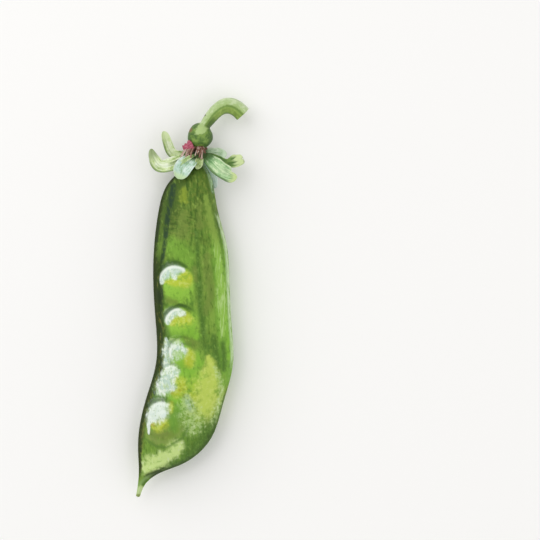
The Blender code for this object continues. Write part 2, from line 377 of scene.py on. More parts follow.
# The poles that close the pod lie this far past its first and last ring
NECK_END = 0.3
BEAK_END = 0.25
# How the wall drapes over a pea: its soft edge, and how much softer it is towards the lower right
LOWER_RIGHT = (0.6, -0.8)
DRAPE_SOFTNESS = 0.09
DRAPE_SOFTER = 0.07
PEA_UNEVENNESS = 0.03
# The crease round a pea: its place and width in shares of the pea's radius, and its full depth
CREASE_PLACE = 1.08
CREASE_WIDTH = 0.13
CREASE_DEPTH = 0.22

# The seam: where the flank meets the thick ventral rib, as (x, y, half width) down the pod
SEAM = [
    (-6.3, -7.2, 0.6), (-7.0, -11.0, 0.6), (-7.8, -15.6, 0.5), (-8.3, -20.6, 0.45),
    (-9.3, -27.5, 0.4), (-9.5, -34.5, 0.55), (-9.6, -43.0, 0.4), (-9.3, -50.0, 0.45),
    (-9.6, -54.0, 0.45), (-11.2, -59.0, 0.35), (-12.9, -63.5, 0.35), (-13.3, -68.5, 0.35),
    (-13.4, -73.0, 0.3),
]
# Marks on the skin, each a line of (x, y, half width). Waxy bloom over the peas, partly painted highlight
BLOOM_AND_HIGHLIGHT = [
    [(-3.9, -28.1, 0.5), (-5.2, -28.0, 0.9), (-6.7, -28.1, 1.35), (-8.1, -28.9, 1.1),
     (-8.9, -30.1, 0.7), (-9.2, -31.4, 0.35)],
    [(-6.3, -29.2, 0.8), (-5.7, -30.1, 0.4)],
    [(-3.8, -38.9, 0.6), (-5.2, -38.6, 0.85), (-6.7, -38.7, 1.0), (-7.5, -39.6, 1.0),
     (-7.7, -40.6, 0.7), (-7.6, -41.3, 0.4)],
    [(-7.1, -39.6, 0.7), (-6.5, -39.9, 0.4)],
    [(-3.7, -48.3, 0.8), (-5.5, -48.1, 1.6), (-7.0, -48.4, 1.8)],
    [(-8.1, -45.3, 0.35), (-8.0, -47.4, 0.6), (-8.0, -49.9, 0.8), (-8.0, -52.1, 0.8)],
    [(-5.3, -53.2, 0.6), (-7.0, -53.6, 1.5), (-8.0, -55.4, 1.6), (-8.8, -57.1, 1.7), (-9.2, -58.0, 0.9)],
    [(-7.2, -56.9, 1.2), (-6.2, -57.4, 0.6)],
    [(-9.2, -61.4, 0.9), (-9.7, -62.6, 1.8), (-10.8, -63.9, 1.8), (-12.1, -65.4, 0.7),
     (-12.4, -67.1, 0.35), (-12.4, -68.9, 0.2)],
    [(-8.6, -63.4, 0.9), (-8.6, -64.4, 0.5)],
]
# Yellow beside the bloom, and the yellow patch in the lower flank
GOLD = [
    [(-8.3, -31.1, 0.3), (-7.0, -31.0, 0.5), (-5.2, -30.9, 0.8), (-3.5, -30.5, 1.1), (-2.3, -30.5, 0.6)],
    [(-3.6, -29.2, 0.7), (-3.2, -29.9, 0.7)],
    [(-6.5, -40.9, 0.6), (-4.7, -40.5, 0.9), (-3.0, -40.3, 1.0), (-2.1, -40.1, 0.5)],
    [(-2.7, -48.1, 0.4), (-2.0, -49.4, 0.75), (-2.2, -51.1, 0.75)],
    [(-5.5, -55.2, 0.6), (-4.3, -56.7, 1.0), (-4.7, -58.1, 1.0), (-6.3, -58.4, 0.5)],
    [(-7.0, -61.4, 0.45), (-7.0, -62.9, 0.5)],
    [(-11.5, -66.6, 0.4), (-9.8, -66.8, 0.9), (-8.3, -66.1, 0.7)],
    [(2.5, -49.8, 0.4), (3.1, -52.0, 0.8), (2.9, -55.0, 1.5), (2.4, -57.5, 2.1), (1.9, -60.3, 2.5),
     (1.5, -61.9, 2.0), (1.4, -63.0, 0.8)],
]
# Pale green: the band over the lower edge, a painted highlight, the speckled patch, a streak and the
# beak's tip
PALE = [
    [(-13.2, -77.3, 1.0), (-11.8, -76.9, 1.7), (-9.4, -75.4, 1.4), (-7.3, -74.3, 1.0), (-6.0, -73.0, 1.2),
     (-5.3, -71.9, 1.1), (-4.5, -72.3, 0.6)],
    [(-3.0, -60.0, 0.7), (-2.6, -62.6, 1.6), (-1.7, -65.0, 2.0), (-1.4, -66.8, 1.6), (-2.2, -68.3, 0.7)],
    [(4.1, -52.4, 0.4), (5.5, -56.0, 0.55), (5.5, -60.0, 0.5), (4.9, -63.6, 1.0), (4.3, -66.0, 1.0)],
    [(-6.9, -45.3, 0.4), (-5.2, -45.6, 0.75)],
    [(-14.6, -82.4, 0.35), (-15.0, -83.6, 0.4)],
]
# The light stripe beside the dorsal nerve, a painted highlight on the nerve's ridge
STRIPE = [
    [(1.8, -9.6, 0.4), (2.5, -12.6, 0.65), (3.5, -17.1, 0.7), (4.7, -23.1, 0.6), (5.3, -28.1, 0.75),
     (5.8, -33.1, 0.9), (5.9, -38.1, 0.85), (6.0, -42.1, 0.6), (6.0, -44.4, 0.4)],
]
# Bright green: the peas' own skin, and the flank between the peas and the ripe patch
BRIGHT = [
    [(-2.4, -43.1, 1.2), (-0.3, -44.7, 0.6)],
    [(-3.4, -51.2, 1.2), (-0.7, -50.1, 1.1), (0.4, -51.6, 0.8)],
    [(-2.2, -53.6, 1.8), (-0.2, -54.6, 1.5), (-1.3, -57.1, 1.3)],
    [(-5.9, -60.1, 1.1), (-4.5, -61.4, 1.3), (-5.3, -63.6, 1.2), (-6.3, -67.0, 1.1)],
    [(-6.7, -21.9, 1.0), (-4.7, -23.6, 1.7), (-2.7, -25.1, 1.4)],
    [(-3.7, -8.6, 0.7), (-3.7, -10.6, 0.8)],
    [(6.9, -40.0, 0.5), (7.4, -45.0, 0.5), (7.6, -50.0, 0.4)],
]
# Olive: painted shade below the peas, then olive in the upper flank and a long streak down the middle
OLIVE = [
    [(-7.5, -35.7, 0.6), (-5.7, -36.2, 0.5)],
    [(-3.4, -45.0, 0.5), (-1.7, -45.8, 1.0), (-1.1, -47.4, 1.0)],
    [(-11.6, -69.1, 0.8), (-9.5, -69.4, 1.6), (-7.7, -68.4, 1.2)],
    [(1.8, -24.4, 0.6), (2.3, -29.4, 0.9), (2.8, -34.4, 0.9), (2.0, -38.6, 0.6)],
    [(-1.0, -27.6, 0.5), (-0.7, -30.6, 0.5)],
    [(-4.2, -14.4, 0.8), (-3.8, -17.6, 1.2), (-4.6, -19.8, 0.9)],
    [(0.3, -11.9, 0.7), (0.5, -16.9, 0.7)],
]
# Dark green: painted shade round the peas, and dark marks down the middle and along the lower edge
DARK = [
    [(-9.0, -27.4, 0.5), (-7.7, -26.2, 0.5), (-6.0, -25.9, 0.55), (-4.2, -26.4, 0.45), (-3.2, -27.3, 0.3)],
    [(-9.0, -34.9, 0.7), (-8.6, -36.2, 0.7), (-8.1, -36.8, 0.35)],
    [(-5.0, -36.6, 0.2), (-3.3, -37.3, 0.4), (-2.3, -38.4, 0.5)],
    [(-8.2, -42.4, 0.5), (-7.8, -44.0, 0.6), (-7.3, -45.3, 0.35)],
    [(-4.2, -46.5, 0.25), (-2.7, -46.5, 0.45), (-1.5, -46.7, 0.5)],
    [(-11.5, -60.9, 0.4), (-10.5, -59.7, 0.45), (-9.2, -59.8, 0.35), (-8.0, -60.0, 0.25)],
    [(-0.5, -18.6, 0.4), (-0.2, -24.4, 0.5), (0.1, -33.1, 0.7), (0.9, -40.6, 0.5), (1.5, -46.9, 0.7)],
    [(3.8, -44.5, 0.4), (4.0, -47.0, 0.8), (4.8, -50.1, 0.8), (5.2, -53.6, 0.5)],
    [(6.0, -46.5, 0.5), (6.3, -50.0, 0.6), (6.2, -53.0, 0.4)],
    [(4.3, -61.9, 0.4), (3.6, -65.1, 0.8), (2.3, -68.1, 1.3), (0.8, -70.9, 1.6), (-1.5, -73.1, 1.5),
     (-3.7, -75.9, 0.7), (-6.2, -76.3, 0.9), (-9.7, -78.1, 0.6), (-11.7, -79.4, 0.6), (-13.2, -80.4, 0.5),
     (-14.2, -81.9, 0.3)],
]
# Nearly black strokes: a painted shadow beside the front lobe, strokes along the ventral edge and over the
# beak
INK = [
    [(1.2, -1.2, 0.4), (1.7, -2.4, 0.3), (2.2, -3.8, 0.2)],
    [(-10.1, -16.2, 0.3), (-10.6, -20.8, 0.3)],
    [(-9.9, -33.8, 0.6), (-9.6, -36.0, 0.4)],
    [(-12.9, -79.4, 0.3), (-11.5, -79.2, 0.5), (-9.6, -78.5, 0.35)],
]
# Each layer of marks: its lines, and how many half widths away from them it has faded out
MARKS = {
    "bloom_and_highlight": (BLOOM_AND_HIGHLIGHT, 2.4), "gold": (GOLD, 3.0), "pale": (PALE, 2.6), "stripe": (STRIPE, 2.4),
    "bright": (BRIGHT, 3.0), "olive": (OLIVE, 3.0), "dark": (DARK, 3.0), "ink": (INK, 3.0),
}
SEAM_REACH = 2.0
SAMPLES_PER_POINT = 14
SUTURE_STEPS = 400


def closeness(x, y, lines, reach):
    """1 on a line, falling evenly to 0 at its reach in half widths; the greatest over all lines."""
    best = np.zeros_like(x)
    for line in lines:
        samples = spline(line)(np.linspace(0, 1, SAMPLES_PER_POINT * len(line)))
        margin = samples[:, 2].max() * reach
        low, high = samples[:, :2].min(axis=0) - margin, samples[:, :2].max(axis=0) + margin
        here = (x > low[0]) & (x < high[0]) & (y > low[1]) & (y < high[1])
        away = np.hypot(x[here][:, None] - samples[:, 0], y[here][:, None] - samples[:, 1])
        best[here] = np.maximum(best[here], (1 - away / (samples[:, 2] * reach)).max(axis=1))
    return np.clip(best, 0, 1)


def pea_places(stations):
    """The (x, y) centre, radius, rise and crease of each pea, from its distance and inset on the pod."""
    steps = np.linspace(0, 1, SUTURE_STEPS)
    along = travelled(stations(steps)[:, :2])
    places = []
    for distance, inset, radius, height, crease in PEAS:
        station = stations(np.interp(distance, along, steps))
        across = unit(station[2:4] - station[:2])
        places.append((station[:2] + across * inset, radius, height, crease))
    return places


def pea_swellings(spot, stations):
    """What the peas do at each spot of the wall: how far they lift it, how close it is to a pea's body,
    and how deep the crease is. The wall drapes over a pea: it rises by height * soft(1 - away^2), where
    soft runs smoothly to 0, slower on the lower right."""
    lift = np.zeros(spot.shape[:2])
    body = np.zeros_like(lift)
    groove = np.zeros_like(lift)
    for number, (centre, radius, height, crease) in enumerate(pea_places(stations)):
        offset = (spot - centre) / radius
        uneven = 1 + PEA_UNEVENNESS * ripple(number, offset[..., 0] * 3, offset[..., 1] * 3)
        away = np.linalg.norm(offset, axis=-1) * uneven
        lower_right = np.clip(offset @ LOWER_RIGHT, -1, 1)
        soft = DRAPE_SOFTNESS + DRAPE_SOFTER * lower_right
        drape = soft * np.log1p(np.exp((1 - away**2) / soft))
        lift = np.maximum(lift, height * drape)
        body = np.maximum(body, np.clip(1.5 - away, 0, 1) * min(1, height))
        beside = bump(away - CREASE_PLACE, CREASE_WIDTH) * ((1 - lower_right) / 2) ** 1.4
        groove = np.maximum(groove, crease * beside)
    return lift, body, groove


def pod_skin():
    """Between the sutures each ring is half a lens: x, y run across by the cosine of the turn, with a
    sharp lip at both sutures, and z by its sine. The wall is raised by the peas and the dorsal nerve,
    cut by the seam, and flat where the pod rests."""
    stations = spline(POD_STATIONS)
    turn = full_turn(POD_SIDES)
    station = stations(np.linspace(0, 1, POD_RINGS))[:, None, :]
    ventral, dorsal, thick = station[..., 0:2], station[..., 2:4], station[..., 4]
    middle = (ventral + dorsal) / 2
    half = (dorsal - ventral) / 2
    length = np.linalg.norm(half, axis=-1)
    across, up = np.cos(turn), np.sin(turn)
    lip = np.minimum(1.0, SUTURE_LIP / length)
    keel = np.sign(across) * bump(up, SUTURE_LIP_WIDTH)
    spot = middle + half * (across * (1 - lip) + keel * lip)[..., None]
    x, y = spot[..., 0], spot[..., 1]
    share = np.abs(up) ** FLANK_FULLNESS
    from_ventral = np.linalg.norm(spot - ventral, axis=-1)
    from_dorsal = np.linalg.norm(spot - dorsal, axis=-1)

    lift, body, groove = pea_swellings(spot, stations)
    fade = np.minimum(1.0, 2 * length / (NERVE_INSET * 2.2)) ** 4
    nerve = NERVE_RISE * fade * bump(from_dorsal - NERVE_INSET, NERVE_WIDTH)
    along = travelled(middle[:, 0])[:, None] + np.zeros_like(lift)
    side_vein = np.sin(along * 1.7 + from_ventral * 0.9 + 1.2 * ripple(3, along, from_ventral))
    seam = closeness(x, y, [SEAM], SEAM_REACH)
    wall = (lift - CREASE_DEPTH * groove + nerve + SIDE_VEIN_RISE * fade * side_vein) * share
    wall -= SEAM_DEPTH * rise(0.3, 1.0, seam) * rise(0.0, 0.5, share)
    over = thick * share + wall
    under = np.minimum(thick * share + LOWER_RISE * wall, REST_HEIGHT)
    rings = stacked(x, y, np.where(up >= 0, over, -under))
    start = (*(middle[0, 0] + (0.0, NECK_END)), 0.0)
    end = (*(middle[-1, 0] - (0.0, BEAK_END)), 0.0)
    marks = {name: closeness(x, y, lines, reach) for name, (lines, reach) in MARKS.items()}
    pod = closed_piece("pod_skin", rings, "pod_skin", pod_green(), start, end, ventral=from_ventral,
                       dorsal=from_dorsal, seam=seam, body=body, crease=groove, **marks)
    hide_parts("pod")


# Single places on the skin: where dust lies beside the pale patch, and the hollow in the third patch of
# bloom and painted highlight
DUST = (-2.3, -61.4)
DUST_SLANT = 0.3
HOLLOW = (-5.0, -49.0)


class PodGround:
    """What all layers of the pod's colour share: the place in millimetres, the distances from both
    sutures, and noises of several grains, of which streak and stroke are drawn out along the pod."""

    def __init__(self, paint):
        self.paint = paint
        x, y, z = self.place = paint.place()
        self.ventral = paint.layer("ventral")
        self.dorsal = paint.layer("dorsal")
        self.body = paint.layer("body")
        self.streak = paint.noise(x * 0.9, y * 0.16, scale=1.0, detail=5.0, rough=0.6)
        self.stroke = paint.noise(x * 1.5 + y * 0.25, y * 0.5 - x * 0.1, scale=1.1, rough=0.55)
        self.mottle = paint.noise(x, y, z, scale=0.45, detail=6.0, rough=0.6)
        self.patch = paint.noise(x, y, z, scale=1.1, detail=3.0, rough=0.55)
        self.fine = paint.noise(x, y, z, scale=2.4, detail=2.0, rough=0.55)
        self.rag = (self.fine - 0.5) * 0.15 + (self.patch - 0.5) * 0.9 + (self.stroke - 0.5) * 0.8
        self.soft = (self.mottle - 0.5) * 1.2 + (self.patch - 0.5) * 0.6 + (self.stroke - 0.5) * 0.4

    def mark(self, name, low, high, edge=None):
        """One layer of marks as 0..1, its edge made ragged by a noise."""
        layer = self.paint.layer(name)
        edge = self.rag if edge is None else edge
        return (layer + edge * (layer * 2).at_most(1.0)).rise(low, high)


def flank_green(pod):
    """The flank's own green with its streaks, duller and darker towards the neck, where strokes run
    across it, and fresher along the dorsal side."""
    paint, (x, y, _) = pod.paint, pod.place
    ventral, dorsal = pod.ventral, pod.dorsal
    streak, stroke, mottle, patch = pod.streak, pod.stroke, pod.mottle, pod.patch
    upper = (y + mottle * 10).rise(-24.0, -6.0)
    cross = paint.noise(x * 0.35 - y * 0.1, y * 1.5 + x * 0.35, scale=1.0, detail=4.0)
    arcs = y.near(-17.0, 6.0) * ventral.rise(1.8, 3.2) * dorsal.rise(5.0, 7.5)
    flank = (dorsal + (mottle - 0.5) * 2.0).rise(4.5, 3.0) * (y + mottle * 4).rise(-14.0, -24.0)
    return paint.plain("6a8f34").coats(
        (streak.rise(0.46, 0.62) * 0.75, "82a541"),
        (streak.rise(0.5, 0.34) * 0.8, "4f7628"),
        (mottle.rise(0.52, 0.7) * 0.5, "86a040"),
        (upper * 0.8, "56732a"),
        (upper * patch.rise(0.46, 0.62) * 0.6, "758536"),
        (upper * streak.rise(0.5, 0.4) * 0.75, "37581c"),
        (upper * stroke.rise(0.54, 0.7) * 0.4, "869a44"),
        (arcs * cross.rise(0.51, 0.62) * 0.9, "7c8a3e"),
        (arcs * cross.rise(0.48, 0.38) * 0.9, "45591f"),
        (flank * y.rise(-62.0, -56.0) * 0.85, "78a83a"),
        (upper * ventral.rise(7.0, 2.5) * 0.85, "435a20"))


def green_marks(pod, colour):
    """The light green of the peas, the lowest one duller, then the dark and olive marks, which are painted
    shade where they lie round and below the peas, the bright marks, and single strokes over them all."""
    paint, (_, y, z) = pod.paint, pod.place
    stroke, patch, rag = pod.stroke, pod.patch, pod.rag
    lowest = (y + rag * 3).rise(-60.5, -63.5)
    pea = paint.plain("94c545").coats(
        (lowest * 0.8, "768f38"),
        ((y + rag * 2).near(-44.6, 2.0) * 0.6, "659832"))
    deep = paint.plain("466a25").coats(
        (patch.rise(0.5, 0.64) * 0.65, "668a3c"),
        (patch.rise(0.48, 0.36) * 0.6, "33521c"))
    olive = paint.plain("71873a").colour(y.rise(-65.0, -67.0), "798b42")
    bright = paint.plain("84b83a").coats(
        (y.rise(-29.0, -25.0), "74a038"),
        (y.rise(-19.0, -13.0) * 0.8, "8c9a30"),
        (y.rise(-60.5, -63.5) * 0.85, "639236"))
    dark_strokes = stroke.rise(0.46, 0.32) * (0.6 - pod.body * 0.5) * z.size().rise(0.3, 1.8)
    return colour.coats(
        (pod.mark("body", 0.15, 0.75) * 0.9, pea),
        # Dark green, painted shade where it rings the peas
        (pod.mark("dark", 0.2, 1.0) * 0.8, deep),
        # Olive, painted shade where it lies below the peas
        (pod.mark("olive", 0.2, 1.0) * 0.8, olive),
        (pod.mark("bright", 0.25, 0.95) * 0.85, bright),
        (stroke.rise(0.55, 0.75) * 0.4, "9cbf56"),
        (dark_strokes, "45661e"))


def light_marks(pod, colour):
    """The yellow marks and the lower yellow patch, the pale green with its speckles, where it bands the
    lower edge a painted highlight, dust beside it, and the light stripe, a painted highlight; over the
    peas and the pale green the mottling is calmer."""
    paint, (x, y, z) = pod.paint, pod.place
    stroke, mottle, patch = pod.stroke, pod.mottle, pod.patch
    gold = pod.mark("gold", 0.08, 0.85, pod.soft) ** 1.2
    yellow_patch = paint.plain("b4c43c").coats(
        (x.rise(-2.0, 0.5), "bccf5c"),
        (patch.rise(0.48, 0.66) * 0.5, "cdda76"),
        (mottle.rise(0.48, 0.34) * 0.45, "96b53e"),
        (x.rise(-2.0, -4.0) * y.rise(-33.0, -37.0) * patch.rise(0.5, 0.36) * 0.7, "b8a03c"))
    speckled = y.rise(-71.0, -68.5)
    speckles = speckled * (patch * 0.6 + pod.fine * 0.4).rise(0.53, 0.41)
    pale = pod.mark("pale", 0.12, 0.85, pod.soft) ** 1.2 * (1 - speckles * 0.85)
    pale_green = paint.plain("c8de8c").colour(speckled, "b6d088")
    flecks = (patch * 0.5 + stroke * 0.5).rise(0.53, 0.65) * (0.6 - speckled * 0.1)
    slanted = x + (y - DUST[1]) * DUST_SLANT
    dust = square_from(DUST, slanted, y, x_weight=1.4, y_weight=0.4) ** 0.5
    stripe = pod.mark("stripe", 0.1, 0.85)
    brushed = paint.noise(x * 2.0, y * 0.22 + z * 0.3, scale=1.2)
    calm = pod.body.at_least(pale)
    return colour.coats(
        (gold * 0.92, yellow_patch),
        # Pale green; its band over the lower edge is a painted highlight
        (pale * (0.9 - speckled * 0.25), pale_green),
        (pale * flecks, "d0deac"),
        ((dust + pod.rag * 3).rise(2.0, 0.6) * stroke.rise(0.4, 0.52) * 0.6, "a6bfa0"),
        # The light stripe, a painted highlight along the dorsal nerve's ridge
        (stripe * 0.8, paint.plain("98c454").colour(y.rise(-26.0, -18.0), "8aa748")),
        (stripe * y.rise(-20.0, -26.0) * brushed.rise(0.5, 0.62) * 0.65, "bfda90"),
        (calm * (mottle + (patch - 0.5)).rise(0.48, 0.3) * 0.45, "6f9c36"))


def wax_and_highlight(pod):
    """Bloom and painted highlight: bluish white, a painted highlight near each pea's edge, green specks.
    """
    paint, (x, y, _) = pod.paint, pod.place
    hollow = square_from(HOLLOW, x, y, x_weight=0.45) ** 0.5
    return paint.plain("bed3c6").coats(
        ((pod.patch + pod.mottle * 0.5).rise(0.66, 0.86), "e0ebdc"),
        (pod.stroke.rise(0.49, 0.37) * 0.6, "b0c98a"),
        # Painted highlight: a white arc near each pea's upper left edge
        ((pod.body + pod.rag * 0.1).near(0.6, 0.13) * 0.8, "f3f8f1"),
        ((hollow + pod.rag * 1.2).rise(1.3, 0.6) * 0.75, "a6c97c"),
        (y.rise(-59.5, -62.0) * 0.6, "e6efe8"),
        (pod.fine.rise(0.37, 0.31) * (y.rise(-43.0, -47.0) * 0.5 + 0.1), "7d9c62"))


def pea_marks(pod, colour):
    """Arcs round the lowest pea, the seam and the creases round the peas in painted shade, and the waxy
    bloom with its painted highlight; its mask is given back too, because the waxy bloom is duller."""
    y, rag = pod.place[1], pod.rag
    low_arcs = y.rise(-66.0, -68.0)
    around = pod.body + rag * 0.08 + pod.soft * 0.15
    seam = pod.mark("seam", 0.0, 0.75, rag * 0.9) * y.rise(-68.0, -64.0)
    bloom_and_highlight = pod.mark("bloom_and_highlight", 0.12, 0.75, rag * (y.rise(-43.0, -45.0) * 0.25 + 0.4)) ** 1.8
    bloom_and_highlight = bloom_and_highlight * pod.body.rise(0.1, 0.3).at_least(y.rise(-43.5, -44.5))
    colour = colour.coats(
        (around.near(0.4, 0.2) * low_arcs * 0.35, "8b9d58"),
        (around.near(0.16, 0.14) * low_arcs * 0.6, "557634"),
        # Painted shade in the seam's groove
        (seam * (pod.mottle * 0.5 + pod.stroke).rise(0.52, 0.8) * 0.9, "27402c"),
        # Waxy bloom with its painted highlight over the peas
        (bloom_and_highlight * 0.95, wax_and_highlight(pod)),
        # Painted shade in the creases round the peas
        (pod.mark("crease", 0.1, 0.8) * 0.8, "38561f"))
    return colour, bloom_and_highlight


def suture_edges(pod, colour, bloom_and_highlight):
    """The dark ventral rib and its outline, painted shade where the edge turns away from the light, dark
    strokes, the light streaky dorsal edge, its dark lower end, and the pale beak."""
    paint, (x, y, z) = pod.paint, pod.place
    ventral, dorsal = pod.ventral, pod.dorsal
    stroke, mottle, patch, rag = pod.stroke, pod.mottle, pod.patch, pod.rag
    narrower = y.rise(-52.0, -60.0) * 0.7 + y.rise(-72.0, -75.0) * 1.2 + 1
    # Painted shade: the ventral rib and its outline darkened where the edge turns away from the light
    rim = (ventral * narrower + (patch - 0.5) * 2.2).rise(3.3, 1.3) * (y + mottle * 3).rise(-20.0, -26.0)
    rim = rim * y.rise(-79.5, -77.0) * (1 - bloom_and_highlight)
    rib = paint.plain("2b3d0e").colour((stroke + y * 0.004).rise(0.3, 0.2) * 0.7, "6c6a30")
    outline = (ventral + (patch - 0.5) * 1.2).rise(1.1, 0.4) * y.rise(-82.0, -78.0)
    edge_line = (dorsal + rag * 0.6).near(1.35, 0.5) * y.rise(-33.0, -24.0)
    grain = paint.noise(x * 1.2, y * 0.3, z * 1.8, scale=1.5, detail=4.0, rough=0.6)
    loose = y + (mottle - 0.5) * 8 + (grain - 0.5) * 8
    light_edge = (dorsal + (grain - 0.5) * 1.4).rise(1.0, 0.4)
    light_edge = light_edge * (z + (grain - 0.5) * 3.0).rise(-0.5, 0.7)
    light_edge = light_edge * loose.rise(-55.0, -47.0) * (1 - loose.near(-11.5, 4.0).at_most(0.45) * 2.0)
    light_edge = light_edge * (grain.rise(0.38, 0.56) * 0.45 + 0.45)
    lower_edge = (dorsal + (patch + stroke - 1) * 1.6 - x.rise(-7.0, -9.5) * 0.9).rise(1.5, 0.4)
    thin_edge = (dorsal + rag * 0.5).rise(0.7, 0.25) * y.rise(-55.0, -60.0) * 0.85
    lower_edge = (lower_edge * y.rise(-63.0, -68.0)).at_least(thin_edge) * y.rise(-80.4, -79.0)
    return colour.coats(
        (rim * 0.92, rib),
        (outline * 0.85, "263309"),
        # Nearly black strokes; beside the front lobe a painted shadow in the gap
        (pod.mark("ink", 0.15, 0.85) * 0.8, "27361a"),
        (edge_line * 0.45, "4a6a2a"),
        (light_edge, paint.plain("cbe0b4").colour(y.rise(-13.0, -8.0), "b0cfa4")),
        (lower_edge * 0.8, paint.plain("3c5520").colour(x.rise(-2.0, -8.0), "2b3f10")),
        (y.rise(-78.5, -80.0) * dorsal.near(1.2, 0.9) * 0.7, "86a462"),
        (y.rise(-81.8, -82.8) * 0.85, "bccf95"),
        (y.rise(-83.9, -84.3) * 0.8, "83924a"))


def pod_green():
    """The pod's colour, laid on from the flank's own green to the edges, and its fine relief."""
    paint = Paint("pod_green", Roughness=0.5, Specular_IOR_Level=0.14)
    pod = PodGround(paint)
    colour = light_marks(pod, green_marks(pod, flank_green(pod)))
    colour, bloom_and_highlight = pea_marks(pod, colour)
    colour = suture_edges(pod, colour, bloom_and_highlight)
    height = pod.fine * 0.4 + pod.streak * 0.3 + pod.stroke * 0.3
    return paint.finish(colour, 0.5 + pod.mottle * 0.12 + bloom_and_highlight * 0.15, height, relief=0.1)


# The calyx lobes: the width at the root as a share of the greatest, their grid and thickness
ROOT_SHARE = 0.5
LOBE_ROWS = 84
LOBE_SIDES = 48
LOBE_THICKNESS = 0.5
# Where a lobe's last ring lies on its midrib, how its rim thins out, and how thick its tip still is
LOBE_END = 0.998
RIM_POWER = 0.6
TIP_THICKNESS = 0.3
MIDRIB_DEPTH = 0.09
MIDRIB_WIDTH = 0.08
FIBRE_RISE = 0.02
# Each lobe: its midrib, greatest width, how blunt its tip is, the way it faces and how far it cups
CALYX_LOBES = {
    "upper_left": dict(
        midrib=[(-0.9, 0.3, -0.6), (-3.9, 0.6, -1.0), (-6.3, 0.8, -1.2), (-7.7, 2.4, -1.0),
                (-8.4, 4.5, -0.5), (-8.9, 6.6, 0.0)],
        width=2.7, blunt=9, face=(0.35, 0.2, 1.0), cup=0.24),
    "left": dict(
        midrib=[(-1.0, 0.1, 0.9), (-4.5, -1.1, 1.6), (-7.2, -2.2, 1.5), (-9.7, -2.2, 1.0),
                (-11.2, -0.3, 0.8), (-11.9, 2.2, 0.9)],
        width=4.5, blunt=2.2, face=(0.0, 0.35, 1.0), cup=0.24),
    "front_left": dict(
        midrib=[(-0.9, 0.2, 1.4), (-2.5, -1.4, 3.2), (-3.9, -3.3, 3.9), (-4.6, -5.5, 3.7)],
        width=5.3, blunt=3.4, face=(-0.25, 0.1, 1.0), cup=0.14, waves=0.12, root=0.25),
    "front": dict(
        midrib=[(0.2, 0.1, 1.5), (0.2, -1.2, 3.0), (-0.5, -3.0, 3.5)],
        width=2.3, blunt=4, face=(0.0, 0.2, 1.0), cup=0.15),
    "front_right": dict(
        midrib=[(1.6, 0.3, 1.0), (3.8, -1.9, 2.4), (5.7, -3.6, 2.6), (7.6, -4.5, 2.0),
                (9.6, -5.0, 1.4)],
        width=4.3, blunt=7, face=(0.25, 0.1, 1.0), cup=0.20, step=0.45, waves=0.11),
    "right": dict(
        midrib=[(1.0, 0.6, -0.2), (3.6, 0.0, -0.4), (6.2, -1.2, -0.5), (8.3, -1.4, -0.3),
                (10.0, -0.9, 0.1), (11.3, -0.3, 0.3)],
        width=2.2, blunt=60, face=(-0.1, 0.45, 1.0), cup=0.24, fork=0.13, flare=0.75),
    "upper_right": dict(
        midrib=[(0.7, 0.6, -1.0), (2.5, 0.9, -1.8), (4.6, 0.9, -1.9), (7.0, 0.8, -1.7)],
        width=3.4, blunt=5, face=(0.1, 0.2, 1.0), cup=0.16),
    "back": dict(
        midrib=[(0.6, 0.0, -1.5), (2.0, -2.6, -3.1), (3.3, -5.2, -3.4), (4.1, -7.6, -3.0)],
        width=3.1, blunt=4, face=(0.3, 0.0, -1.0), cup=0.15),
    "left_fold": dict(
        midrib=[(-1.0, 0.6, 1.2), (-3.4, 0.5, 2.0), (-5.6, -0.2, 2.3), (-7.8, -1.3, 2.3)],
        width=1.3, blunt=5, face=(0.0, 0.3, 1.0), cup=0.2),
    "front_fold": dict(
        midrib=[(-0.6, 0.6, 1.6), (-2.4, -0.2, 3.0), (-4.1, -1.3, 3.5), (-6.0, -2.0, 3.0)],
        width=1.2, blunt=4, face=(0.0, 0.2, 1.0), cup=0.2),
}
# The lobes with a dark line along one edge, and its colour: 1 is the left edge as seen from the root.
# On the front right lobe the line is a painted shadow in the gap beside the front lobe
EDGED = {"upper_left": (1, "5f7f38"), "left": (1, "6c8a3e"), "front_right": (-1, "426a2e")}
# Each lobe's colours: body, shade, light and tip
LOBE_COLOURS = {
    "upper_left": ("d0e4a2", "84a652", "eff6da", "d6e6b0"),
    "left": ("d2e3a6", "92ae62", "f3f7e8", "9aab7c"),
    "front_left": ("b9d6c4", "82a672", "dbeae0", "c6deae"),
    "front": ("9db16e", "5c7837", "cbd6a8", "b9ca90"),
    "front_right": ("a6cd93", "639559", "dcecc2", "cfe09a"),
    "right": ("5c8240", "3c5f2a", "86a855", "d9e8ac"),
    "upper_right": ("c6deba", "90b684", "e4f0da", "d8ead0"),
    "back": ("d8efe8", "b4dacd", "eef9f6", "e2f4ee"),
    "left_fold": ("c3d892", "7f9f4e", "ecf3d8", "d6e6b0"),
    "front_fold": ("b2cc8a", "6b8f42", "dfecc4", "cfe0b0"),
}


